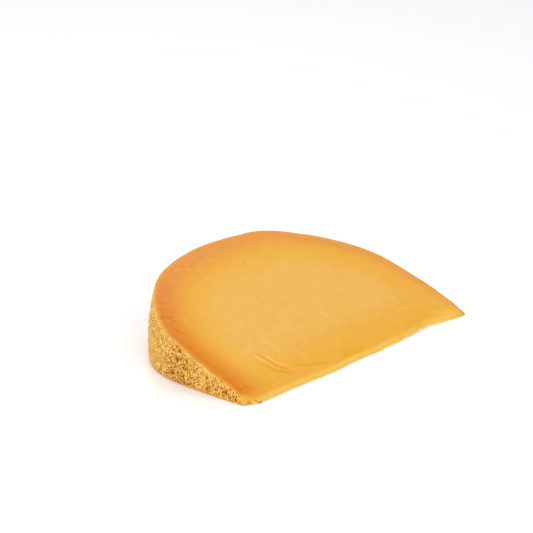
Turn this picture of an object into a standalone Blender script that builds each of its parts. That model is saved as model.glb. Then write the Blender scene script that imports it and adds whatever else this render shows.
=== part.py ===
"""A wedge of mimolette, cut like an orange segment from a flattened ball of hard orange cheese.

Two straight knife cuts run from the rind to the ball's own upright axis, so both cut faces are the
same D: a straight edge along the axis and a round side along the rind. The wedge lies on one cut
face, and the other slopes up from the thin front edge to the rind. The axis lies along X while the
wedge is made, and the wedge then moves so that the origin is under its middle. Metres, +Z up.
"""

import math

import bmesh
import bpy
from mathutils import Vector, noise

# The ball that the wedge was cut from
HALF_EDGE = 0.0775  # half the cut edge, which is half the ball's height
SHOULDER_REACH = 0.0870  # from the edge out to the rind, before the belly is added
SQUARENESS = 2.55  # 2 is an ellipse, and more is squarer at the poles' shoulders
BELLY = 0.10  # share that the rind swells at the ball's equator
# where the ball isn't even, from the edge's +X end round: degrees, half width, height
BULGES = [
    (15, 9, 0.0006),
    (31, 7, 0.0006),
    (37, 8, 0.0018),
    (58.5, 3.5, -0.0006),
    (66, 10, 0.0004),
    (72, 6, 0.0010),
    (88, 8, 0.0007),
    (105, 22, 0.0003),
    (125, 10, -0.0010),
    (141, 10, 0.0007),
    (160, 15, 0.0003),
    (178, 9, 0.0017),
]
# the same for the rind along the upper cut alone, which leans out or in from the one on the floor
LEANS = [
    (124, 10, 0.0013),
    (143, 9, 0.0007),
    (150.5, 3.5, -0.0009),
    (158, 3, -0.0005),
    (165, 9, -0.0014),
    (173, 5, -0.0012),
]
LEAN_FADE = 4  # power of the way out to the rind, so that a lean dies out into the paste

# The two cuts
WEDGE_ANGLE = math.radians(20.9)
KNIFE_GAP = 0.003  # the cuts would meet this far in front of the edge, which leaves it blunt

# The front edge, as the knife and the hand left it: distances back from a straight line
EDGE_BOW = -0.0005
HOLLOWS = [
    (-0.024, 0.012, -0.0009),
    (0.011, 0.006, -0.0003),
    (0.020, 0.005, 0.0003),
    (0.031, 0.006, 0.0005),
    (0.050, 0.0125, 0.0025),
]
TIP_START_X = 0.058
TIP_DEPTH = -0.0016
TIP_CORNER_WIDTH = 0.0025
TIP_CORNER_DEPTH = 0.0010
CORNER_START_X = -0.0725
CORNER_END_X = -0.0795
CORNER_DEPTH = 0.0033
CHIP_SIZE = 0.006
CHIP_DEPTH = 0.0005
EDGE_REACH = 0.012  # how far into the paste these die out
NOSE_DROP = 0.0006  # how far the upper cut rounds down to the thin edge
NOSE_REACH = 0.005

# The upper cut face: a little higher than its rim, with low waves where the knife dragged
SWELL = 0.0004
SWELL_WIDTH = 0.007
DRAG_HEIGHT = 0.00015
DRAG_LENGTH = 0.034
DRAG_WIDTH = 0.009

# The rind: an uneven skin that cheese mites have pitted, worn round where it meets the floor
PIT_SPACING = 0.0040
PIT_DEPTH = 0.0007
PIT_OPENING = 0.62  # share of the spacing that a pit is open across
SHALLOWEST = 0.3  # depth of the shallowest pit, as a share of the deepest
CELL_JUMP = 7.3  # spreads neighbouring pits' depths apart
RIPPLE_SIZE = 0.022
RIPPLE_HEIGHT = 0.0004
RIM_RELIEF = 0.35  # share of the relief that is left along the knife cuts
RIM_WEAR = 0.0005
RIM_WEAR_HEIGHT = 0.0030
FULL_HEIGHT = 0.012  # where the rind is lower than this, the wear is less

# How finely the surface is divided
FACE_RINGS = 22
SPIN_STEPS = 11
NARROW = 1e-6  # shorter than any real feature
AT_RIND = 0.999  # share of the way out, past which a point is on the rind
TURN_STEP = 0.001  # radians between two points that give a direction

# Colours of the cheese, as linear red, green and blue
PASTE_COLOUR = (0.88, 0.49, 0.11, 1.0)
RIND_COLOUR = (0.72, 0.38, 0.10, 1.0)


def smooth_step(low, high, value):
    share = min(1.0, max(0.0, (value - low) / (high - low)))
    return share * share * (3 - 2 * share)


def sum_of_bumps(bumps, place):
    """The height at a place of a row of soft bumps, each with its place, half width and height."""
    return sum(height * math.exp(-(((place - at) / width) ** 2)) for at, width, height in bumps)


def rind_reach(angle):
    """From the middle of the edge out to the rind, at an angle from the edge's +X end."""
    along = abs(math.cos(angle)) / HALF_EDGE
    across = abs(math.sin(angle)) / SHOULDER_REACH
    square = (along**SQUARENESS + across**SQUARENESS) ** (-1 / SQUARENESS)
    return square * (1 + BELLY * math.sin(angle)) + sum_of_bumps(BULGES, math.degrees(angle))


def turned(x, radius, turn):
    """The point at a radius from the ball's axis, turned up from the floor."""
    return Vector((x, radius * math.cos(turn), radius * math.sin(turn)))


def place_of(co):
    """A point's angle round the D, its share of the way out to the rind, and its turn."""
    depth = max(0.0, math.hypot(co.y, co.z) - KNIFE_GAP)
    angle = math.atan2(depth, co.x)
    turn = min(max(math.atan2(co.z, co.y), 0.0), WEDGE_ANGLE)
    return angle, math.hypot(co.x, depth) / rind_reach(angle), turn


def d_point(u, v):
    """Draws a half square, from -1 to 1 and from 0 to 1, out to the D of the cheese."""
    ring = max(abs(u), v)
    if ring < NARROW:
        return Vector((0, KNIFE_GAP, 0))
    if v > abs(u):
        angle = (2 - u / ring) * math.pi / 4
    elif u > 0:
        angle = v / ring * math.pi / 4
    else:
        angle = (4 - v / ring) * math.pi / 4
    reach = ring * rind_reach(angle)
    return turned(reach * math.cos(angle), KNIFE_GAP + reach * math.sin(angle), 0)


def add_lower_cut(bm):
    bmesh.ops.create_grid(bm, x_segments=2 * FACE_RINGS, y_segments=FACE_RINGS, size=1.0)
    for vert in bm.verts:
        vert.co = d_point(vert.co.x, (vert.co.y + 1) / 2)


def spin_to_wedge(bm):
    """Sweeps the lower cut about the ball's axis, which makes the rind and the blunt edge."""
    bmesh.ops.spin(
        bm,
        geom=bm.faces[:],
        cent=(0, 0, 0),
        axis=(1, 0, 0),
        angle=WEDGE_ANGLE,
        steps=SPIN_STEPS,
    )
    bmesh.ops.recalc_face_normals(bm, faces=bm.faces)


def is_on_rind(vert):
    return place_of(vert.co)[1] > AT_RIND


def is_rind(face):
    """The rind's faces stand up between the cuts, with every corner on the ball."""
    turns = [place_of(vert.co)[2] for vert in face.verts]
    return max(turns) - min(turns) > NARROW and all(is_on_rind(vert) for vert in face.verts)


def is_front(face):
    """The blunt front edge is a strip all of whose corners lie one knife gap from the axis."""
    radii = [math.hypot(vert.co.y, vert.co.z) for vert in face.verts]
    return max(radii) < KNIFE_GAP + NARROW and not is_rind(face)


def simplify_front(bm):
    """Leaves one row of faces up the front edge, which is only a millimetre high."""
    strip = {face for face in bm.faces if is_front(face)}
    between_rows = [
        edge
        for edge in bm.edges
        if len(edge.link_faces) == 2
        and all(face in strip for face in edge.link_faces)
        and abs(edge.verts[0].co.x - edge.verts[1].co.x) > NARROW
    ]
    bmesh.ops.dissolve_edges(bm, edges=between_rows, use_verts=True)


def refine_rind(bm):
    """Halves the rind's faces, and only those, for its relief."""
    edges = {edge for face in bm.faces if is_rind(face) for edge in face.edges}
    bmesh.ops.subdivide_edges(bm, edges=list(edges), cuts=1, use_grid_fill=True)


def ball_point(angle, turn):
    reach = rind_reach(angle)
    return turned(reach * math.cos(angle), KNIFE_GAP + reach * math.sin(angle), turn)


def outward(angle, turn):
    """The ball's outward direction at a place on its rind."""
    after = ball_point(angle + TURN_STEP, turn)
    before = ball_point(angle - TURN_STEP, turn)
    across = turned(0, 1, turn + math.pi / 2)
    return (after - before).normalized().cross(across)


def pit(point):
    """0 on the skin to 1 at the bottom of a pit. Each pit has a depth of its own."""
    distances, centres = noise.voronoi(point / PIT_SPACING)
    strength = (1 + SHALLOWEST + (1 - SHALLOWEST) * noise.cell(centres[0] * CELL_JUMP)) / 2
    opening = max(0.0, 1 - distances[0] / PIT_OPENING)
    return strength * opening * (2 - opening)


def rind_relief(angle, turn):
    """How far the rind stands out of the even ball."""
    even = ball_point(angle, turn)
    radius = math.hypot(even.y, even.z)
    ripple = RIPPLE_HEIGHT * noise.noise(even / RIPPLE_SIZE)
    above_floor = turn * radius
    from_cut = min(turn, WEDGE_ANGLE - turn) * radius
    relief = RIM_RELIEF + (1 - RIM_RELIEF) * min(1.0, from_cut / PIT_SPACING)
    wear = RIM_WEAR * max(0.0, 1 - above_floor / RIM_WEAR_HEIGHT) ** 2
    wear *= min(1.0, WEDGE_ANGLE * radius / FULL_HEIGHT)
    return relief * (ripple - PIT_DEPTH * pit(even)) - wear


def face_relief(co, share):
    """How far the upper cut face stands above an even plane, at a point on it."""
    inside = min((1 - share) * SHOULDER_REACH, math.hypot(co.y, co.z) - KNIFE_GAP)
    wave = noise.noise(Vector((co.x / DRAG_WIDTH, co.y / DRAG_LENGTH, 7.0)))
    return smooth_step(0, SWELL_WIDTH, inside) * (SWELL + DRAG_HEIGHT * wave)


def front_shift(x):
    """How far the front edge lies behind a straight line, at a place along it."""
    hollow = sum_of_bumps(HOLLOWS, x)
    tip = TIP_DEPTH * smooth_step(TIP_START_X, HALF_EDGE, x)
    tip += TIP_CORNER_DEPTH * smooth_step(HALF_EDGE - TIP_CORNER_WIDTH, HALF_EDGE, x)
    corner = CORNER_DEPTH * smooth_step(CORNER_START_X, CORNER_END_X, x)
    chips = CHIP_DEPTH * noise.noise(Vector((x / CHIP_SIZE, 4.0, 0.0)))
    return EDGE_BOW + hollow + tip + corner + chips


def shape_surface(bm):
    upper = turned(0, 1, WEDGE_ANGLE + math.pi / 2)
    for vert in bm.verts:
        angle, share, turn = place_of(vert.co)
        depth = math.hypot(vert.co.y, vert.co.z) - KNIFE_GAP
        if is_on_rind(vert):
            vert.co = ball_point(angle, turn) + outward(angle, turn) * rind_relief(angle, turn)
        elif turn > WEDGE_ANGLE / 2:
            vert.co += upper * face_relief(vert.co, share)
        raised = turn / WEDGE_ANGLE
        shift = front_shift(vert.co.x)
        thinned = 1 + min(0.0, shift) / KNIFE_GAP
        drop = NOSE_DROP * thinned * max(0.0, 1 - depth / NOSE_REACH) ** 2
        vert.co -= upper * drop * raised
        vert.co += turned(0, shift * (1 - smooth_step(0, EDGE_REACH, depth)), turn)
        lean = raised * share**LEAN_FADE * sum_of_bumps(LEANS, math.degrees(angle))
        vert.co += turned(lean * math.cos(angle), lean * math.sin(angle), turn)


def flatten_floor(bm):
    """Joins the lower cut into one flat face, which the wedge lies on."""
    floor = [face for face in bm.faces if all(abs(vert.co.z) < NARROW for vert in face.verts)]
    bmesh.ops.dissolve_faces(bm, faces=floor, use_verts=True)


def centre_on_footprint(bm):
    low = [min(vert.co[axis] for vert in bm.verts) for axis in range(3)]
    high = [max(vert.co[axis] for vert in bm.verts) for axis in range(3)]
    shift = (-(low[0] + high[0]) / 2, -(low[1] + high[1]) / 2, -low[2])
    bmesh.ops.translate(bm, verts=bm.verts, vec=shift)


def food_material(name, colour, roughness):
    material = bpy.data.materials.new(name)
    material.use_nodes = True
    shader = material.node_tree.nodes["Principled BSDF"]
    shader.inputs["Base Color"].default_value = colour
    shader.inputs["Roughness"].default_value = roughness
    shader.inputs["Metallic"].default_value = 0.0
    return material


def build_wedge():
    bm = bmesh.new()
    add_lower_cut(bm)
    spin_to_wedge(bm)
    simplify_front(bm)
    refine_rind(bm)
    for face in bm.faces:
        face.material_index = 1 if is_rind(face) else 0
    shape_surface(bm)
    flatten_floor(bm)
    centre_on_footprint(bm)
    mesh = bpy.data.meshes.new("mimolette_wedge")
    bm.to_mesh(mesh)
    bm.free()
    mesh.materials.append(food_material("paste", PASTE_COLOUR, 0.45))
    mesh.materials.append(food_material("rind", RIND_COLOUR, 0.85))
    mesh.shade_smooth()
    mesh.set_sharp_from_angle(angle=math.radians(35))
    bpy.context.scene.collection.objects.link(bpy.data.objects.new("mimolette_wedge", mesh))


for old in list(bpy.data.objects):
    bpy.data.objects.remove(old)
build_wedge()
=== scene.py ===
import math

import bmesh
import bpy
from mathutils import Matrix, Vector, noise


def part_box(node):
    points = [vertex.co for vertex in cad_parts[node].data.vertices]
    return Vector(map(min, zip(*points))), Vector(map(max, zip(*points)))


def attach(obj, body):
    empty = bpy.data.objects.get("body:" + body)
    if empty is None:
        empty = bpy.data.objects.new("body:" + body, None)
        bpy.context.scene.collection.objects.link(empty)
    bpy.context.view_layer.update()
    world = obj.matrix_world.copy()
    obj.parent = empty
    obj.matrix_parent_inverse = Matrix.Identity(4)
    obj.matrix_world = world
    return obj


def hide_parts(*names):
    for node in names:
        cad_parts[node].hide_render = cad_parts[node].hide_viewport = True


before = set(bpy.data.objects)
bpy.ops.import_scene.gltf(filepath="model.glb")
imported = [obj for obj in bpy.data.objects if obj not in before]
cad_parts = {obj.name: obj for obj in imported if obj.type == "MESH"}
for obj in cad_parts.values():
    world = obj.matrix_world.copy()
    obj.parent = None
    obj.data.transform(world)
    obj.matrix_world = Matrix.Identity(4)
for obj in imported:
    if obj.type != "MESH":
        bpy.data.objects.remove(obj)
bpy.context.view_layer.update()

# The wedge, as two knife cuts leave it
# One piece of hard orange cheese, cut like an orange segment from a flattened ball. Both cuts are
# the same D, and would meet on the ball's own axis, just in front of the thin edge. The lower cut is
# drawn first, swept round that axis to the upper cut, and then divided finely where it has relief.
wedge_low, wedge_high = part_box("mimolette_wedge")
wedge_length = wedge_high.x - wedge_low.x
half_edge = 0.4878 * wedge_length
shoulder_reach = 0.5476 * wedge_length
axis_place = Vector((0.0008, -0.3160, 0)) * wedge_length
squareness = 2.55
belly = 0.10
cut_angle = math.radians(20.9)
knife_gap = 0.003
# each bulge of the rind: its angle round the D and its width in degrees, and its height
bulges = [
    (15, 9, 0.0006),
    (31, 7, 0.0006),
    (37, 8, 0.0018),
    (58.5, 3.5, -0.0006),
    (66, 10, 0.0004),
    (72, 6, 0.0010),
    (88, 8, 0.0007),
    (105, 22, 0.0003),
    (125, 10, -0.0010),
    (141, 10, 0.0007),
    (160, 15, 0.0003),
    (178, 9, 0.0017),
]
# how finely the cuts and the sweep are divided, and from what share of the way out it is rind
face_rings = 54
rim_crowding = 0.12
spin_steps = 27
front_rows = 3
at_rind = 0.9985
narrow = 1e-6
# the worn corner at the left end of the thin edge, where the rind reaches round, and how far
# round it the faces are fine
wrap_start_x = -0.0706
wrap_full_x = -0.0735
wrap_depth = 0.0010
corner_surround = 0.002


def smooth_step(low, high, value):
    share = min(1.0, max(0.0, (value - low) / (high - low)))
    return share * share * (3 - 2 * share)


def sum_of_bumps(bumps, place):
    """The height at a place of a row of soft bumps, each with its own place, width and height."""
    return sum(height * math.exp(-(((place - centre) / width) ** 2)) for centre, width, height in bumps)


def rind_reach(angle):
    """From the middle of the thin edge out to the rind, at an angle from the edge's +X end."""
    along = abs(math.cos(angle)) / half_edge
    across = abs(math.sin(angle)) / shoulder_reach
    reach = (along**squareness + across**squareness) ** (-1 / squareness)
    reach *= 1 + belly * math.sin(angle)
    return reach + sum_of_bumps(bulges, math.degrees(angle))


def turned(x, radius, turn):
    """The point at a radius from the ball's axis, turned up from the floor."""
    return Vector((x, radius * math.cos(turn), radius * math.sin(turn)))


def ball_point(angle, turn, share=1.0):
    """The point at an angle round the D, at a turn up from the floor and a share of the way out."""
    reach = share * rind_reach(angle)
    return turned(reach * math.cos(angle), knife_gap + reach * math.sin(angle), turn)


def place_of(co):
    """A point's angle round the D, its share of the way out to the rind, and its turn."""
    depth = max(0.0, math.hypot(co.y, co.z) - knife_gap)
    angle = math.atan2(depth, co.x)
    turn = min(max(math.atan2(co.z, co.y), 0.0), cut_angle)
    return angle, math.hypot(co.x, depth) / rind_reach(angle), turn


def square_to_d(u, v):
    """Draws a half square, from -1 to 1 and from 0 to 1, out to the D of the cheese."""
    ring = max(abs(u), v)
    if ring < narrow:
        return ball_point(0, 0, 0)
    share = ring + rim_crowding * math.sin(math.pi * ring)
    if v > abs(u):
        angle = (2 - u / ring) * math.pi / 4
    elif u > 0:
        angle = v / ring * math.pi / 4
    else:
        angle = (4 - v / ring) * math.pi / 4
    return ball_point(angle, 0, share)


def is_rind(face):
    places = [place_of(vert.co) for vert in face.verts]
    turns = [turn for _, _, turn in places]
    return max(turns) - min(turns) > narrow and all(share > at_rind for _, share, _ in places)


def is_front(face):
    radii = [math.hypot(vert.co.y, vert.co.z) for vert in face.verts]
    return max(radii) < knife_gap + narrow and not is_rind(face)


def is_upper_cut(face):
    return all(vert.co.z > vert.co.y * math.tan(cut_angle) - narrow for vert in face.verts)


def is_inside_front(edge):
    """Whether an edge lies between two faces of the front, the strip up the thin edge."""
    return len(edge.link_faces) == 2 and all(is_front(face) for face in edge.link_faces)


def is_along_front(edge):
    return is_inside_front(edge) and abs(edge.verts[0].co.x - edge.verts[1].co.x) > narrow


def wrapped_depth(x):
    """How far back from the thin edge its worn corner is rind, at a place along it."""
    return wrap_depth * smooth_step(wrap_start_x, wrap_full_x, x)


def is_at_corner(face, reach):
    """Whether a face of the paste, off the floor, lies within a reach of the worn corner's rind."""
    centre = face.calc_center_median()
    depth = math.hypot(centre.y, centre.z) - knife_gap
    if centre.z < narrow or centre.x > wrap_start_x or is_rind(face):
        return False
    return depth < wrapped_depth(centre.x) + reach


def select(piece, kind, wanted):
    """Opens a piece in edit mode with only the wanted edges or faces selected."""
    bpy.ops.object.mode_set(mode="EDIT")
    bpy.ops.mesh.select_mode(type=kind)
    bpy.ops.mesh.select_all(action="DESELECT")
    cage = bmesh.from_edit_mesh(piece.data)
    for part in list(cage.edges if kind == "EDGE" else cage.faces):
        if wanted(part):
            part.select_set(True)
    bmesh.update_edit_mesh(piece.data)


bpy.ops.object.select_all(action="DESELECT")
bpy.ops.mesh.primitive_grid_add(x_subdivisions=2 * face_rings, y_subdivisions=face_rings, size=2)
wedge = bpy.context.object
wedge.name = "cheese_wedge"
for vert in wedge.data.vertices:
    vert.co = square_to_d(vert.co.x, (vert.co.y + 1) / 2)
bpy.ops.object.mode_set(mode="EDIT")
bpy.ops.mesh.select_all(action="SELECT")
# with no window the spin turns the other way, so its angle is less than 0
bpy.ops.mesh.spin(steps=spin_steps, angle=-cut_angle, center=(0, 0, 0), axis=(1, 0, 0))
bpy.ops.mesh.select_all(action="SELECT")
bpy.ops.mesh.normals_make_consistent(inside=False)

# the front needs only a few rows of faces up its one millimetre
select(wedge, "EDGE", is_along_front)
bpy.ops.mesh.dissolve_edges(use_verts=True)
select(wedge, "EDGE", is_inside_front)
bpy.ops.mesh.subdivide(number_cuts=front_rows)

# the rind's faces end a third of a millimetre wide, and the upper cut's twice that
for longest in (0.0009, 0.00045):
    select(
        wedge,
        "EDGE",
        lambda edge: edge.calc_length() > longest and any(is_rind(face) for face in edge.link_faces),
    )
    bpy.ops.mesh.subdivide(number_cuts=1)
    bpy.ops.object.mode_set(mode="OBJECT")
    for vert in wedge.data.vertices:
        angle, share, turn = place_of(vert.co)
        if share > at_rind:
            vert.co = ball_point(angle, turn)
select(wedge, "FACE", is_upper_cut)
bpy.ops.mesh.subdivide(number_cuts=1)
select(wedge, "FACE", lambda face: is_at_corner(face, corner_surround))
bpy.ops.mesh.subdivide(number_cuts=1)
wedge.data.materials.append(bpy.data.materials.new("orange_paste"))
wedge.data.materials.append(bpy.data.materials.new("mite_eaten_rind"))
select(wedge, "FACE", lambda face: is_rind(face) or is_at_corner(face, 0))
wedge.active_material_index = 1
bpy.ops.object.material_slot_assign()
bpy.ops.object.mode_set(mode="OBJECT")

# The rind
# The ball's own skin, dry and tan, which cheese mites have eaten into worm-like grooves and pits,
# most of all beside the worn corner. It is rounded where it meets the floor, worn soft where it
# meets the upper cut, and reaches a millimetre round the worn corner.
# without a seed, the bends of the grooves and pits would differ from run to run
bend_seed = 7
noise.seed_set(bend_seed)
ripple_size = 0.022
ripple_height = 0.0004
lump_size = 0.0023
lump_height = 0.00020
groove_spacing = 0.00078
groove_depth = 0.00031
groove_sides = (0.34, 0.04)
groove_bend = 0.0005
groove_bend_size = 0.0020
least_groove = 0.40
pit_spacing = 0.0015
pit_depth = 0.00050
pit_sides = (0.46, 0.12)
pit_bend = 0.0006
pit_bend_size = 0.0022
pit_strength = 0.40
pit_strength_spread = 0.60
pit_shuffle = 7.3
floor_wear = 0.0005
floor_wear_height = 0.0030
full_height = 0.012
rim_wear = 0.00018
rim_wear_width = 0.0010
rim_band = 0.0026
rim_calm = 0.35
tint_middle = 0.6
tint_spread = 0.55
wrap_fringe = 0.0003
wrap_eaten = 0.4
wrap_tint_middle = 0.65
wrap_tint_spread = 0.5
# how eaten the rind is all over, in patches, beside the worn corner, and there low down and high up
eaten_all_over = 0.08
eaten_in_patches = 0.22
eaten_beside_corner = 0.42
eaten_low = 0.16
eaten_high = -0.14
patch_size = 0.013
patch_sides = (-0.15, 0.35)
beside_corner = (136, 149)
low_down = (1.1, 0.35)
high_up = (0.65, 0.95)
# more or less eaten still: angle and width in degrees, and by how much
eaten_places = [
    (150, 2.5, 0.22),
    (161.5, 3, -0.30),
    (175, 6, 0.20),
]
# the few deepest pits: angle in degrees and height over the floor, and size
worst_pit_depth = 0.00045
worst_pits = [
    ((143, 0.0165), 0.0005),
    ((149, 0.0166), 0.0007),
    ((150, 0.0150), 0.0006),
    ((150, 0.0108), 0.0007),
    ((149, 0.0042), 0.0008),
    ((154, 0.0079), 0.0005),
    ((162, 0.0072), 0.0005),
    ((163, 0.0025), 0.0006),
    ((167, 0.0076), 0.0006),
    ((170, 0.0031), 0.0005),
    ((171, 0.0052), 0.0005),
    ((175, 0.0026), 0.0006),
    ((175, 0.0014), 0.0006),
]
# how far the rind leans out at its top: angle and width in degrees, and by how much, and how
# fast that dies away inwards
leans = [
    (124, 10, 0.0013),
    (143, 9, 0.0007),
    (150.5, 3.5, -0.0009),
    (158, 3, -0.0005),
    (165, 9, -0.0014),
    (173, 5, -0.0012),
]
lean_taper = 4


def outward(angle, turn):
    """The ball's outward direction at a place on its rind."""
    step = 0.001
    along = (ball_point(angle + step, turn) - ball_point(angle - step, turn)).normalized()
    return along.cross(turned(0, 1, turn + math.pi / 2))


def grooves(point):
    """0 on the ridges to 1 along the middle of the worm-like grooves that wind between them."""
    bent = point + groove_bend * noise.noise_vector(point / groove_bend_size)
    return smooth_step(*groove_sides, abs(noise.noise(bent / groove_spacing)))


def pits(point):
    """0 on the skin to 1 at the bottom of a pit. Only some of them are deep."""
    bent = point + pit_bend * noise.noise_vector(point / pit_bend_size)
    distances, centres = noise.voronoi(bent / pit_spacing)
    strength = max(0.0, pit_strength + pit_strength_spread * noise.cell(centres[0] * pit_shuffle))
    return strength * smooth_step(*pit_sides, distances[0])


def weathering(angle, turn, even):
    """How eaten the rind is at a place, from 0 to 1."""
    degrees = math.degrees(angle)
    low = smooth_step(*low_down, turn / cut_angle)
    high = smooth_step(*high_up, turn / cut_angle)
    patches = smooth_step(*patch_sides, noise.noise(even / patch_size))
    beside = eaten_beside_corner + eaten_low * low + eaten_high * high
    eaten = eaten_all_over + eaten_in_patches * patches + smooth_step(*beside_corner, degrees) * beside
    return min(1.0, eaten + sum_of_bumps(eaten_places, degrees))


def eaten_at(place, weathered):
    """How deep the mites have eaten the rind at a place, in metres."""
    bite = groove_depth * (least_groove + (1 - least_groove) * weathered) * grooves(place)
    return bite + weathered * pit_depth * pits(place)


def worst_bite(angle, above_floor, reach):
    """The few deepest pits, each at an angle and a height of its own."""
    bite = 0.0
    for (degrees, height), size in worst_pits:
        gap = math.hypot((angle - math.radians(degrees)) * reach, above_floor - height) / size
        bite += worst_pit_depth * math.exp(-gap * gap)
    return bite


def worn_share(distance, reach):
    """How worn a place is, from 1 at an edge to 0 at the reach of the wear."""
    return max(0.0, 1 - distance / reach) ** 2


def shape_rind(angle, turn):
    """Where a rind vertex ends up, how deep it is eaten, its tint, and how weathered it is."""
    even = ball_point(angle, turn)
    radius = math.hypot(even.y, even.z)
    above_floor = turn * radius
    under_cut = (cut_angle - turn) * radius
    calm = rim_calm + (1 - rim_calm) * smooth_step(0, rim_band, min(2 * above_floor, under_cut))
    weathered = weathering(angle, turn, even)
    lump = noise.noise(even / lump_size)
    bite = calm * (eaten_at(even, weathered) + worst_bite(angle, above_floor, rind_reach(angle)))
    ripple = ripple_height * noise.noise(even / ripple_size) + lump_height * (lump - 0.5)
    floor_round = floor_wear * worn_share(above_floor, floor_wear_height)
    floor_round *= min(1.0, cut_angle * radius / full_height)
    out = ripple - bite - floor_round - rim_wear * worn_share(under_cut, rim_wear_width)
    return even + outward(angle, turn) * out, bite, tint_middle + tint_spread * lump, weathered


# The upper cut
# A knife drawn through firm paste leaves it almost flat. It stands a little proud of its rim, has
# faint combed lines and crinkles beside the rind and a few eyes, and near the thin edge it has
# creases and one soft fold, where the paste dragged on the blade.
swell = 0.0004
swell_width = 0.007
wave_height = 0.00012
wave_across = 0.009
wave_along = 0.034
comb_height = 0.00042
comb_spacing = 0.0017
comb_length = 0.008
comb_bend = 0.6
comb_bend_size = 0.006
comb_patch_size = 0.007
comb_patch_sides = (-0.25, 0.25)
least_patch = 0.35
comb_start = (92, 115)
comb_end = (157, 144)
least_comb = 0.15
comb_inner_side = (0.0115, 0.004)
comb_outer_side = (0.0, 0.0015)
gold_fold = [(-0.0140, 0.0031), (-0.0083, 0.0036), (-0.0020, 0.0035), (0.0045, 0.0032)]
gold_fold_width = 0.0009
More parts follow.
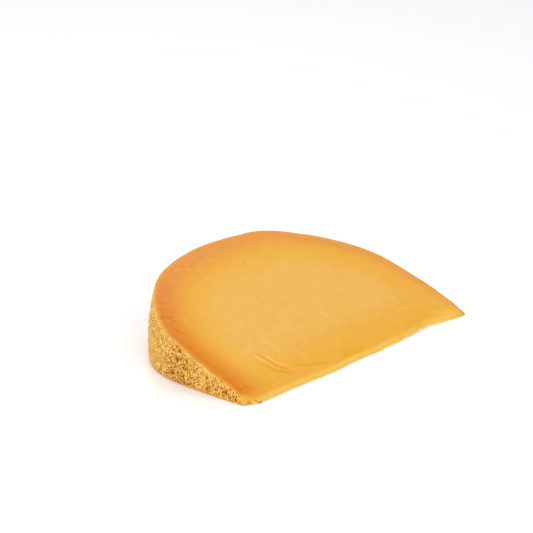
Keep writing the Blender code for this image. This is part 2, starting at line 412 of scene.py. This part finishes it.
# each crease: its line, in X and the way back from the thin edge, its width, and its depth,
# which is less than 0 where it stands up
drag_creases = [
    # the long creases near the worn corner, with low ridges between them
    (
        [(-0.0472, 0.0268), (-0.0471, 0.0212), (-0.0468, 0.0145), (-0.0448, 0.0106), (-0.0409, 0.0067)],
        0.0007,
        0.00080,
    ),
    ([(-0.0455, 0.0237), (-0.0451, 0.0176), (-0.0437, 0.0133), (-0.0405, 0.0090)], 0.0008, -0.00048),
    (
        [(-0.0500, 0.0266), (-0.0491, 0.0195), (-0.0482, 0.0131), (-0.0446, 0.0089), (-0.0416, 0.0060)],
        0.0007,
        -0.00075,
    ),
    (
        [(-0.0530, 0.0196), (-0.0501, 0.0160), (-0.0488, 0.0114), (-0.0450, 0.0079), (-0.0426, 0.0050)],
        0.0007,
        0.00055,
    ),
    (
        [(-0.0418, 0.0121), (-0.0356, 0.0085), (-0.0295, 0.0063), (-0.0237, 0.0052), (-0.0205, 0.0041)],
        0.0008,
        0.00042,
    ),
    # strokes beside the rind
    ([(-0.0669, 0.0653), (-0.0668, 0.0627), (-0.0677, 0.0597), (-0.0681, 0.0573)], 0.0007, 0.00060),
    ([(-0.0650, 0.0644), (-0.0655, 0.0616), (-0.0640, 0.0600), (-0.0618, 0.0591)], 0.0007, 0.00050),
    ([(-0.0664, 0.0589), (-0.0647, 0.0580), (-0.0622, 0.0574)], 0.0006, 0.00040),
    ([(-0.0692, 0.0556), (-0.0673, 0.0529), (-0.0673, 0.0495), (-0.0667, 0.0475)], 0.0007, 0.00054),
    ([(-0.0733, 0.0434), (-0.0726, 0.0407), (-0.0716, 0.0386)], 0.0007, 0.00040),
    ([(-0.0676, 0.0468), (-0.0663, 0.0455), (-0.0646, 0.0445)], 0.0007, 0.00030),
    ([(-0.0613, 0.0728), (-0.0570, 0.0685)], 0.0006, 0.00028),
    ([(-0.0647, 0.0695), (-0.0603, 0.0652)], 0.0006, 0.00030),
    ([(-0.0532, 0.0770), (-0.0492, 0.0730)], 0.0006, 0.00028),
    (
        [(-0.0712, 0.0540), (-0.0732, 0.0420), (-0.0738, 0.0300), (-0.0736, 0.0180), (-0.0700, 0.0075)],
        0.0016,
        0.00020,
    ),
    # crinkles beside the back of the rim
    ([(-0.0338, 0.0884), (-0.0321, 0.0881)], 0.0007, 0.00036),
    ([(-0.0311, 0.0901), (-0.0284, 0.0902)], 0.0006, -0.00040),
    ([(-0.0298, 0.0887), (-0.0274, 0.0887)], 0.0006, -0.00040),
    ([(-0.0293, 0.0871), (-0.0270, 0.0872)], 0.0006, 0.00036),
    ([(-0.0312, 0.0858), (-0.0290, 0.0855)], 0.0006, -0.00045),
    ([(-0.0260, 0.0854), (-0.0222, 0.0831)], 0.0006, 0.00036),
    ([(-0.0282, 0.0848), (-0.0247, 0.0829)], 0.0006, -0.00036),
    ([(-0.0152, 0.0872), (-0.0129, 0.0874)], 0.0006, 0.00036),
    ([(-0.0168, 0.0862), (-0.0136, 0.0863)], 0.0006, -0.00040),
    ([(-0.0105, 0.0871), (-0.0085, 0.0854)], 0.0006, 0.00036),
    ([(-0.0125, 0.0860), (-0.0100, 0.0841)], 0.0006, -0.00040),
    # curls beside the worn corner
    ([(-0.0775, 0.0112), (-0.0759, 0.0110), (-0.0757, 0.0090), (-0.0742, 0.0070)], 0.0006, 0.00042),
    ([(-0.0756, 0.0189), (-0.0757, 0.0145), (-0.0767, 0.0110)], 0.0007, 0.00040),
    ([(-0.0705, 0.0080), (-0.0718, 0.0098), (-0.0737, 0.0108)], 0.0007, 0.00045),
    # faint drags across the middle, sunk and raised
    ([(-0.0370, 0.0330), (-0.0360, 0.0170)], 0.0009, -0.00030),
    ([(-0.0320, 0.0310), (-0.0308, 0.0170)], 0.0009, 0.00024),
    ([(-0.0290, 0.0230), (-0.0270, 0.0080)], 0.0008, -0.00028),
    ([(-0.0055, 0.0270), (-0.0045, 0.0120)], 0.0009, 0.00024),
    ([(0.0072, 0.0360), (0.0082, 0.0170)], 0.0009, -0.00022),
    ([(0.0117, 0.0250), (0.0125, 0.0120)], 0.0008, 0.00024),
    ([(0.0335, 0.0290), (0.0340, 0.0170)], 0.0008, -0.00024),
    ([(0.0497, 0.0262), (0.0502, 0.0173)], 0.0007, -0.00046),
    ([(0.0509, 0.0258), (0.0515, 0.0166)], 0.0006, 0.00036),
    ([(0.0519, 0.0267), (0.0527, 0.0168)], 0.0007, -0.00046),
    ([(0.0532, 0.0250), (0.0540, 0.0160)], 0.0007, 0.00040),
    ([(0.0475, 0.0170), (0.0480, 0.0070)], 0.0008, 0.00010),
    # the fold behind the thin edge, which is a deeper gold
    (gold_fold, gold_fold_width, 0.00045),
]
crease_end = 0.3
widths_felt = 3
# each eye or crumb: where it is, its size, and its depth, less than 0 for a crumb
eyes = [
    ((0.0036, 0.0767), 0.0008, 0.0006),
    ((-0.0586, 0.0560), 0.0014, -0.00025),
    ((0.0303, 0.0007), 0.0009, 0.0006),
    ((0.0468, 0.0006), 0.0012, 0.0006),
    ((-0.0222, 0.0044), 0.0012, 0.0004),
    ((-0.0745, 0.0099), 0.0007, -0.00040),
    ((-0.0750, 0.0077), 0.0008, -0.00050),
]


def layer_noise(along, across, layer):
    """Noise over a flat layer. Each use takes a layer of its own, so that no two look alike."""
    return noise.noise(Vector((along, across, layer)))


def distance_to_path(x, depth, path):
    """From a place on the cut to a line of points, and how far along the line that is, 0 to 1."""
    nearest = (1.0, 0.0)
    for step, (start, end) in enumerate(zip(path, path[1:])):
        run = Vector((end[0] - start[0], end[1] - start[1]))
        offset = Vector((x - start[0], depth - start[1]))
        share = min(1.0, max(0.0, offset.dot(run) / run.length_squared))
        gap = (offset - share * run).length
        nearest = min(nearest, (gap, (step + share) / (len(path) - 1)))
    return nearest


def combing(x, depth, angle, inside):
    """The faint lines that run out to the rim on the left, from -1 to 1 and patchy."""
    degrees = math.degrees(angle)
    bend = comb_bend * layer_noise(x / comb_bend_size, depth / comb_bend_size, layer=31.0)
    comb = layer_noise(angle * shoulder_reach / comb_spacing + bend, inside / comb_length, layer=3.0)
    patch = layer_noise(x / comb_patch_size, depth / comb_patch_size, layer=5.0)
    patchy = least_patch + (1 - least_patch) * smooth_step(*comb_patch_sides, patch)
    combed = (1 - least_comb) * smooth_step(*comb_start, degrees) * smooth_step(*comb_end, degrees)
    combed += least_comb
    combed *= smooth_step(*comb_inner_side, inside) * smooth_step(*comb_outer_side, inside)
    return combed * patchy * comb


def cut_marks(x, depth, angle, inside):
    """The fine marks in the upper cut: how far it stands out for them, in metres."""
    height = comb_height * combing(x, depth, angle, inside)
    for path, width, deep in drag_creases:
        gap, along = distance_to_path(x, depth, path)
        if gap < widths_felt * width:
            ends = smooth_step(0, crease_end, along) * smooth_step(1.0, 1 - crease_end, along)
            height -= ends * deep * math.exp(-((gap / width) ** 2))
    for (eye_x, eye_depth), size, deep in eyes:
        gap = math.hypot(x - eye_x, depth - eye_depth) / size
        height -= deep * math.exp(-gap * gap)
    return height


def cut_form(x, depth, inside):
    """The broad form of the upper cut, above an even plane through its rim."""
    height = swell * smooth_step(0, swell_width, inside)
    return height + wave_height * layer_noise(x / wave_across, depth / wave_along, layer=7.0)


# The thin edge
# The knife and the hand left it blunt, with a rounded nose, a shallow hollow near one end where a
# crumb came away, small chips, and one worn corner.
nose_round = 0.0004
nose_drop = 0.00065
nose_drop_at_hollow = 0.00012
nose_drop_span = (0.020, 0.040)
nose_reach = 0.0026
nose_taper = (0.008, 0.001)
edge_bow = -0.00028
# how far back the edge stands: X of the place, its width, and by how much
hollows = [
    (-0.024, 0.012, -0.0009),
    (0.011, 0.006, -0.0003),
    (0.020, 0.005, 0.0003),
    (0.031, 0.006, 0.0005),
    (0.050, 0.0125, 0.0025),
]
tip_start_x = 0.058
tip_depth = -0.0016
tip_corner_width = 0.0025
tip_corner_depth = 0.0010
corner_start_x = -0.0725
corner_end_x = -0.0795
corner_depth = 0.0033
corner_round = 0.0065
chip_size = 0.006
chip_depth = 0.0005
small_chip_size = 0.0018
small_chip_depth = 0.00025
edge_reach = 0.012
slump = 0.15
slump_reach = 0.006


def front_shift(x):
    """How far the thin edge lies behind a straight line, at a place along it."""
    tip = tip_depth * smooth_step(tip_start_x, half_edge, x)
    tip += tip_corner_depth * smooth_step(half_edge - tip_corner_width, half_edge, x)
    corner = corner_depth * smooth_step(corner_start_x, corner_end_x, x)
    chips = chip_depth * layer_noise(x / chip_size, across=4.0, layer=0.0)
    small_chips = small_chip_depth * layer_noise(x / small_chip_size, across=9.0, layer=0.0)
    return edge_bow + sum_of_bumps(hollows, x) + tip + corner + chips + small_chips


def edge_gap(depth, inside):
    """From the rim or the thin edge, whichever is nearer, round their corners."""
    if depth < corner_round and inside < corner_round:
        return max(0.0, corner_round - math.hypot(corner_round - depth, corner_round - inside))
    return min(depth, inside)


def edge_drop(x, depth, gap):
    """How far the upper cut has sunk near the thin edge, at its rounded nose and over a hollow."""
    shift = front_shift(x)
    drop = nose_drop + nose_drop_at_hollow * smooth_step(*nose_drop_span, x)
    drop *= worn_share(gap, nose_reach) * smooth_step(*nose_taper, depth)
    drop *= 1 + min(0.0, shift) / knife_gap
    return drop + slump * max(0.0, shift) * (1 - smooth_step(0, slump_reach, depth))


def edge_shift(x, depth, lift):
    """How far back a place near the thin edge moves, with the edge and its rounded nose."""
    shift = front_shift(x) * (1 - smooth_step(0, edge_reach, depth))
    return shift + nose_round * lift**2 * worn_share(depth, nose_reach)


# The paste, from its heart to the rind
# It has dried from the outside in: a deeper orange beside the rind, most of all on the left, where that
# deeper orange also holds painted shade. Its paler heart is painted sheen. On the left the very rim is
# pale, the rind's skin seen edge-on with a painted highlight, and on the right it is a thin dark line, the
# skin seen edge-on with painted shade. The nose of the thin edge is pale with a painted highlight, and the
# right-hand tip is paler too.
heart_from_rind = (0.012, 0.034)
heart_from_edge = (0.007, 0.030)
waver_height = 0.0012
waver_size = 0.010
# where the margin is paler on its inner side, painted with the heart's sheen: angle and width in degrees,
# and how strongly
pale_margins = [
    (15, 8, 0.22),
    (80, 22, 0.24),
]
pale_margin_outer_side = (0.002, 0.006)
pale_margin_inner_side = (0.024, 0.012)
# each of these starts at a level, and then rises or falls by an amount over each of its spans
margin_peak = (0.10, [(6, 18, 0.22), (18, 110, 0.18), (105, 148, 0.42)])
margin_width = (0.0115, [(0, 90, 0.0105)])
# how pale the very rim is kept: on the left the rind's skin seen edge-on, partly a painted highlight
pale_rim_and_highlight = (0.15, [(120, 145, 0.45), (156, 166, -0.20)])
# where the rim's thin dark line, partly painted shade, shows
rim_line_shift = (0.0, [(120, 130, 0.001), (18, 6, -0.0006)])
# how strong the nose's painted highlight is along the thin edge
nose_highlight_levels = (0.70, [(0.060, 0.074, -0.40), (-0.069, -0.075, -0.30)])
margin_outer_side = 0.0020
margin_curve = 1.2
corner_margin = 0.10
corner_margin_angles = (90, 120)
corner_margin_from_edge = (0.018, 0.006)
corner_margin_from_rind = (0.040, 0.015)
pale_rim_side = (0.0027, 0.0002)
# a deeper streak a few millimetres inside the rim, at the back right
streak_strength = 0.12
streak_start = (28, 40)
streak_end = (66, 56)
streak_inside = 0.0055
streak_width = 0.0014
pale_edge = 0.6
pale_edge_side = (0.009, 0.002)
# where, in degrees, the left's colours take over: the margin's deeper orange, partly painted shade, and the
# paler skin, partly a painted highlight
deep_angles = (115, 145)
pale_tip_span = (0.056, 0.070)
pale_tip_from_edge = (0.009, 0.003)
pale_tip_from_rind = (0.002, 0.008)


def stepped(steps, place):
    """A level that rises or falls by an amount over each span of a list."""
    level, spans = steps
    return level + sum(rise * smooth_step(start, end, place) for start, end, rise in spans)


def margin_share(angle, inside, depth):
    """How far the paste beside the rind has dried to a deeper orange, from 0 to 1."""
    degrees = math.degrees(angle)
    width = stepped(margin_width, degrees)
    share = stepped(margin_peak, degrees) * smooth_step(width, margin_outer_side, inside) ** margin_curve
    near_corner = smooth_step(*corner_margin_angles, degrees) * smooth_step(*corner_margin_from_edge, depth)
    share += corner_margin * near_corner * smooth_step(*corner_margin_from_rind, inside)
    # the pale rim on the left is partly a painted highlight
    share *= 1 - stepped(pale_rim_and_highlight, degrees) * smooth_step(*pale_rim_side, inside)
    streak = smooth_step(*streak_start, degrees) * smooth_step(*streak_end, degrees)
    share += streak_strength * streak * math.exp(-(((inside - streak_inside) / streak_width) ** 2))
    return share * (1 - pale_edge * smooth_step(*pale_edge_side, depth))


def paste_notes(x, depth, angle, inside):
    """What the paste's colours need to know about a place, each under its attribute's name."""
    degrees = math.degrees(angle)
    waver = waver_height * layer_noise(x / waver_size, depth / waver_size, layer=11.0)
    # the paler heart is painted sheen
    heart = smooth_step(*heart_from_rind, inside + waver) * smooth_step(*heart_from_edge, depth)
    pale_margin = sum_of_bumps(pale_margins, degrees) * smooth_step(*pale_margin_outer_side, inside)
    pale_tip = smooth_step(*pale_tip_span, x) * smooth_step(*pale_tip_from_edge, depth)
    from_fold, _ = distance_to_path(x, depth, gold_fold)
    return {
        "from_edge": depth,
        "edge_gap": edge_gap(depth, inside),
        "margin": margin_share(angle, inside + waver, depth),
        "deep": smooth_step(*deep_angles, degrees),
        "nose": stepped(nose_highlight_levels, x),
        "pale_tip": pale_tip * smooth_step(*pale_tip_from_rind, inside),
        "rim_line": inside + stepped(rim_line_shift, degrees),
        "heart": heart + pale_margin * smooth_step(*pale_margin_inner_side, inside),
        "gold": math.exp(-((from_fold / gold_fold_width) ** 2)),
    }


# The wedge takes its shape
# Each vertex moves to where the rind, the upper cut and the thin edge have it, and the mesh keeps
# what the colours need to know about it. Then the ball's axis moves to where the solid has it.
at_upper_cut = cut_angle - 0.0001
sharp_angle = math.radians(60)
upward = turned(0, 1, cut_angle + math.pi / 2)
notes = []
for vert in wedge.data.vertices:
    x = vert.co.x
    angle, share, turn = place_of(vert.co)
    radius = math.hypot(vert.co.y, vert.co.z)
    depth = radius - knife_gap
    inside = min((1 - share) * rind_reach(angle), half_edge)
    lift = turn / cut_angle
    note = paste_notes(x, depth, angle, inside)
    note["above_floor"] = turn * radius
    note["under_cut"] = max((cut_angle - turn) * radius, wrapped_depth(x) - depth)
    if share > at_rind:
        vert.co, note["eaten"], note["tint"], note["weathered"] = shape_rind(angle, turn)
    elif x < wrap_start_x and depth < wrapped_depth(x) + wrap_fringe and turn > narrow:
        note["eaten"] = eaten_at(vert.co, wrap_eaten)
        note["tint"] = wrap_tint_middle + wrap_tint_spread * noise.noise(vert.co / lump_size)
        vert.co += turned(0, note["eaten"], turn)
    if turn > at_upper_cut:
        note["marks"] = cut_marks(x, depth, angle, inside)
        worn = rim_wear * worn_share(inside, rim_wear_width)
        vert.co += upward * (cut_form(x, depth, inside) + note["marks"] - worn)
    vert.co -= upward * edge_drop(x, depth, note["edge_gap"]) * lift
    vert.co += turned(0, edge_shift(x, depth, lift), turn)
    outward_lean = lift * share**lean_taper * sum_of_bumps(leans, math.degrees(angle))
    vert.co += turned(math.cos(angle), math.sin(angle), turn) * outward_lean
    notes.append(note)
for name in sorted(set().union(*notes)):
    attribute = wedge.data.attributes.new(name, "FLOAT", "POINT")
    attribute.data.foreach_set("value", [note.get(name, 0.0) for note in notes])
for vert in wedge.data.vertices:
    vert.co += axis_place
    vert.co.z = max(vert.co.z, 0.0)
bpy.ops.object.shade_smooth_by_angle(angle=sharp_angle)

# The paste, as a material
# Firm, faintly mottled paste that lets a little light in. The marks of the knife carry painted shade where
# they are sunk, a deeper orange and darker, and a painted highlight where they stand up, paler.
paste_colour = (0.685, 0.339, 0.030)
# painted sheen: the paler colour of the heart
heart_sheen_colour = (0.680, 0.373, 0.067)
margin_colour = (0.570, 0.128, 0.032)
# the left margin's deeper orange: dried paste, partly painted shade
deep_margin_and_shade_colour = (0.580, 0.160, 0.001)
skin_colour = (0.640, 0.270, 0.001)
# the skin at the left rim: the rind seen edge-on, partly a painted highlight
pale_skin_and_highlight_colour = (0.545, 0.262, 0.030)
# the thin dark line at the back and right rim: the skin seen edge-on, partly painted shade
rim_line_and_shade_colour = (0.470, 0.150, 0.001)
# painted highlight: the pale nose of the thin edge, also blended faintly into the tip
nose_highlight_colour = (0.860, 0.563, 0.102)
# painted highlight: the front strip up the thin edge, lighter than the cut
strip_highlight_colour = (0.990, 0.640, 0.180)
# painted shade in the sunk knife marks, a deeper orange
sunk_shade_tint = (0.99, 0.95, 0.55)
# painted highlight on the raised knife marks, paler
raised_highlight_tint = (1.06, 1.10, 1.80)
gold_tint = (1.03, 1.04, 0.0)
skin_strength = 0.8
skin_side = (0.0022, 0.0008)
nose_highlight_side = (0.0032, 0.0004)
front_side = (0.0070, 0.0030)
tip_strength = 0.3
rim_line_strength = 0.9
rim_line_side = (0.0010, 0.0002)
strip_side = (0.0004, 0.0001)
strip_under_cut = (0.0001, 0.0005)
# spans over which the knife marks take painted shade, a painted highlight, and darker or lighter tones
sunk_shade_span = (-0.00005, -0.00050)
raised_highlight_span = (0.00005, 0.00035)
mark_light_span = (-0.0006, 0.0004)
mark_shade_and_highlight_levels = (0.96, 1.05)
mottle_levels = (0.25, 0.75)
mottle_shades = (0.972, 1.028)


def put(tree, kind, **settings):
    """Adds a shader node, and sets its own settings."""
    node = tree.nodes.new(kind)
    for name, value in settings.items():
        setattr(node, name, value)
    return node


def feed(tree, socket, value):
    """Gives a socket another node's output, a colour or a number."""
    if isinstance(value, bpy.types.NodeSocket):
        tree.links.new(value, socket)
    elif socket.type == "RGBA":
        socket.default_value = (*value, 1.0)
    else:
        socket.default_value = value


def note_of(tree, name):
    return put(tree, "ShaderNodeAttribute", attribute_name=name).outputs["Fac"]


def ramp_of(tree, source, span, levels=(0.0, 1.0), kind="SMOOTHSTEP"):
    """Goes from one level to the other as its source crosses a span."""
    node = put(tree, "ShaderNodeMapRange", interpolation_type=kind)
    tree.links.new(source, node.inputs["Value"])
    for name, value in zip(("From Min", "From Max", "To Min", "To Max"), (*span, *levels)):
        node.inputs[name].default_value = value
    return node.outputs["Result"]


def noise_of(tree, size, detail, shift):
    """Noise on the piece's own coordinates, in lumps of a size in metres."""
    spread = put(tree, "ShaderNodeMapping")
    spread.inputs["Location"].default_value = (shift, shift, shift)
    spread.inputs["Scale"].default_value = (1 / size, 1 / size, 1 / size)
    tree.links.new(put(tree, "ShaderNodeTexCoord").outputs["Object"], spread.inputs["Vector"])
    node = put(tree, "ShaderNodeTexNoise")
    node.inputs["Scale"].default_value = 1.0
    node.inputs["Detail"].default_value = detail
    tree.links.new(spread.outputs["Vector"], node.inputs["Vector"])
    return node.outputs["Fac"]


def blend_of(tree, amount, first, second, kind="MIX"):
    """Mixes two colours, each a value or another node's output."""
    node = put(tree, "ShaderNodeMix", data_type="RGBA", blend_type=kind)
    sockets = [socket for socket in node.inputs if socket.type == "RGBA"]
    feed(tree, sockets[0], first)
    feed(tree, sockets[1], second)
    feed(tree, node.inputs["Factor"], amount)
    return [socket for socket in node.outputs if socket.type == "RGBA"][0]


def maths_of(tree, operation, first, second):
    node = put(tree, "ShaderNodeMath", operation=operation)
    feed(tree, node.inputs[0], first)
    feed(tree, node.inputs[1], second)
    return node.outputs["Value"]


def bump_of(tree, height, distance, strength):
    node = put(tree, "ShaderNodeBump")
    node.inputs["Distance"].default_value = distance
    node.inputs["Strength"].default_value = strength
    tree.links.new(height, node.inputs["Height"])
    return node.outputs["Normal"]


paste = bpy.data.materials["orange_paste"]
paste.use_nodes = True
tree = paste.node_tree
shader = tree.nodes["Principled BSDF"]
from_edge = note_of(tree, "from_edge")
gap_here = note_of(tree, "edge_gap")
deep = note_of(tree, "deep")
marks = note_of(tree, "marks")
# painted sheen: paler towards the heart
colour = blend_of(tree, note_of(tree, "heart"), paste_colour, heart_sheen_colour)
# beside the rind the paste has dried a deeper orange; on the left that orange is partly painted shade
beside_rind = blend_of(tree, deep, margin_colour, deep_margin_and_shade_colour)
colour = blend_of(tree, note_of(tree, "margin"), colour, beside_rind)
skin = ramp_of(tree, gap_here, skin_side, (0.0, skin_strength))
# the skin band at the rim: on the left partly a painted highlight
colour = blend_of(tree, skin, colour, blend_of(tree, deep, skin_colour, pale_skin_and_highlight_colour))
# painted highlight on the rounded nose of the thin edge
nose = maths_of(tree, "MULTIPLY", ramp_of(tree, gap_here, nose_highlight_side), ramp_of(tree, from_edge, front_side))
nose = maths_of(tree, "MULTIPLY", nose, note_of(tree, "nose"))
colour = blend_of(tree, nose, colour, nose_highlight_colour)
tip = maths_of(tree, "MULTIPLY", note_of(tree, "pale_tip"), tip_strength)
colour = blend_of(tree, tip, colour, nose_highlight_colour)
# thin dark line at the rim: partly painted shade
rim_line = ramp_of(tree, note_of(tree, "rim_line"), rim_line_side, (0.0, rim_line_strength))
colour = blend_of(tree, rim_line, colour, rim_line_and_shade_colour)
# painted highlight on the front strip up the thin edge
strip = ramp_of(tree, note_of(tree, "under_cut"), strip_under_cut)
strip = maths_of(tree, "MULTIPLY", strip, ramp_of(tree, from_edge, strip_side))
colour = blend_of(tree, strip, colour, strip_highlight_colour)
# painted shade in the sunk marks
colour = blend_of(tree, ramp_of(tree, marks, sunk_shade_span), colour, sunk_shade_tint, "MULTIPLY")
colour = blend_of(tree, note_of(tree, "gold"), colour, gold_tint, "MULTIPLY")
# painted highlight on the raised marks
colour = blend_of(tree, ramp_of(tree, marks, raised_highlight_span), colour, raised_highlight_tint, "MULTIPLY")
mottle = ramp_of(tree, noise_of(tree, size=0.004, detail=4, shift=2.0), mottle_levels, mottle_shades)
# painted shade and highlight: darker where sunk, lighter where raised
painted_mark_light = ramp_of(tree, marks, mark_light_span, mark_shade_and_highlight_levels, "LINEAR")
shaded = put(tree, "ShaderNodeHueSaturation")
tree.links.new(colour, shaded.inputs["Color"])
tree.links.new(maths_of(tree, "MULTIPLY", mottle, painted_mark_light), shaded.inputs["Value"])
tree.links.new(shaded.outputs["Color"], shader.inputs["Base Color"])
shader.inputs["Roughness"].default_value = 0.45
shader.inputs["Specular IOR Level"].default_value = 0.12
shader.inputs["Subsurface Weight"].default_value = 0.3
shader.inputs["Subsurface Radius"].default_value = (1.0, 0.45, 0.12)
shader.inputs["Subsurface Scale"].default_value = 0.002
grain = noise_of(tree, size=0.0007, detail=3, shift=1.0)
tree.links.new(bump_of(tree, grain, distance=0.00004, strength=0.5), shader.inputs["Normal"])

# The rind, as a material
# Dry and matt: straw-coloured on its crests, which also hold a painted highlight, brown in its grooves and
# darkest in its pits, both partly painted shade, with a plainer band under the rim and a painted contact
# shadow, a brown line, where it meets the floor.
# straw crests, partly a painted highlight
crest_and_highlight_colour = (0.94, 0.71, 0.22)
rind_colour = (0.79, 0.455, 0.080)
# brown grooves and dark pits, partly painted shade
groove_and_shade_colour = (0.52, 0.170, 0.011)
pit_and_shade_colour = (0.27, 0.065, 0.004)
band_colour = (0.84, 0.52, 0.12)
# painted contact shadow: the brown line where the rind meets the floor
contact_shadow_colour = (0.55, 0.20, 0.012)
crest_tints = (0.05, 0.65)
groove_depths = (0.00003, 0.00016)
pit_depths = (0.00022, 0.00042)
band_strength = 0.75
band_side = (0.0046, 0.0012)
contact_shadow_strength = 0.55
contact_shadow_height = (0.0012, 0.0003)
contact_shadow_from_edge = (0.001, 0.006)
speckle_weathering = (0.4, 1.0)
speckle_depths = (0.0012, 0.0019)
speckle_tint = 0.6
speckle_middle = 0.5

rind = bpy.data.materials["mite_eaten_rind"]
rind.use_nodes = True
tree = rind.node_tree
shader = tree.nodes["Principled BSDF"]
speck = noise_of(tree, size=0.00045, detail=3, shift=4.0)
speckle = maths_of(tree, "SUBTRACT", speck, speckle_middle)
speckle_depth = ramp_of(tree, note_of(tree, "weathered"), speckle_weathering, speckle_depths)
speckle = maths_of(tree, "MULTIPLY", speckle, speckle_depth)
depth_here = maths_of(tree, "ADD", note_of(tree, "eaten"), speckle)
darker = maths_of(tree, "MULTIPLY", speck, speckle_tint)
tint_here = maths_of(tree, "SUBTRACT", note_of(tree, "tint"), darker)
# paler on the crests, partly a painted highlight
colour = blend_of(tree, ramp_of(tree, tint_here, crest_tints), rind_colour, crest_and_highlight_colour)
band = ramp_of(tree, note_of(tree, "under_cut"), band_side, (0.0, band_strength))
colour = blend_of(tree, band, colour, band_colour)
# darker with depth in grooves and pits, partly painted shade
colour = blend_of(tree, ramp_of(tree, depth_here, groove_depths), colour, groove_and_shade_colour)
colour = blend_of(tree, ramp_of(tree, depth_here, pit_depths), colour, pit_and_shade_colour)
# painted contact shadow along the floor, kept off the thin edge
contact_shadow = ramp_of(tree, note_of(tree, "above_floor"), contact_shadow_height, (0.0, contact_shadow_strength))
off_the_edge = ramp_of(tree, note_of(tree, "from_edge"), contact_shadow_from_edge)
contact_shadow = maths_of(tree, "MULTIPLY", contact_shadow, off_the_edge)
colour = blend_of(tree, contact_shadow, colour, contact_shadow_colour)
tree.links.new(colour, shader.inputs["Base Color"])
shader.inputs["Roughness"].default_value = 0.85
shader.inputs["Specular IOR Level"].default_value = 0.15
grit = noise_of(tree, size=0.0004, detail=4, shift=6.0)
tree.links.new(bump_of(tree, grit, distance=0.0002, strength=0.6), shader.inputs["Normal"])

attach(wedge, "root")
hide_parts("mimolette_wedge")

# The floor
# A plain white sweep, faintly glossy, which isn't part of the cheese. It lies a tenth of a
# millimetre below it, so that the two don't share a plane.
floor_size = 12
floor_drop = 0.0001
bpy.ops.object.select_all(action="DESELECT")
bpy.ops.mesh.primitive_plane_add(size=floor_size, location=(0, 0, -floor_drop))
floor = bpy.context.object
floor.name = "floor"
white = bpy.data.materials.new("white_floor")
white.use_nodes = True
shader = white.node_tree.nodes["Principled BSDF"]
shader.inputs["Base Color"].default_value = (0.850, 0.865, 0.880, 1)
shader.inputs["Roughness"].default_value = 0.12
shader.inputs["Specular IOR Level"].default_value = 0.35
floor.data.materials.append(white)

# Light
# A white room with three soft square lamps: above and behind the cheese, beside the rind, and in
# front of the thin edge. Each has its place, the length of its side and its power in watts.
lamps = [
    ((0.35, 0.55, 0.95), 0.6, 4.2),
    ((-0.9, 0.2, 0.45), 0.6, 3.0),
    ((-0.5, -1.0, 0.7), 0.8, 5.4),
]
world = bpy.data.worlds.new("white_room")
bpy.context.scene.world = world
world.use_nodes = True
world.node_tree.nodes["Background"].inputs["Color"].default_value = (1, 1, 1, 1)
world.node_tree.nodes["Background"].inputs["Strength"].default_value = 0.80
for place, side, power in lamps:
    bpy.ops.object.light_add(type="AREA", location=place)
    lamp = bpy.context.object
    lamp.data.shape = "SQUARE"
    lamp.data.size = side
    lamp.data.energy = power
    lamp.rotation_mode = "QUATERNION"
    lamp.rotation_quaternion = lamp.location.to_track_quat("Z", "Y")

# The camera
# It stands where the photograph was taken from, low and far away, with a long lens.
camera_azimuth = math.radians(-50.59)
camera_elevation = math.radians(17.8)
camera_distance = 1.1508
camera_aim = Vector((0.0744, 0.0696, 0.0))
camera_lens = 156.38
film_width = 36
bpy.ops.object.camera_add()
camera = bpy.context.object
back = Vector(
    (
        math.sin(camera_azimuth) * math.cos(camera_elevation),
        -math.cos(camera_azimuth) * math.cos(camera_elevation),
        math.sin(camera_elevation),
    )
)
camera.location = camera_aim + back * camera_distance
camera.rotation_mode = "QUATERNION"
camera.rotation_quaternion = back.to_track_quat("Z", "Y")
camera.data.sensor_width = film_width
camera.data.lens = camera_lens
bpy.context.scene.camera = camera
bpy.context.scene.view_settings.view_transform = "Standard"
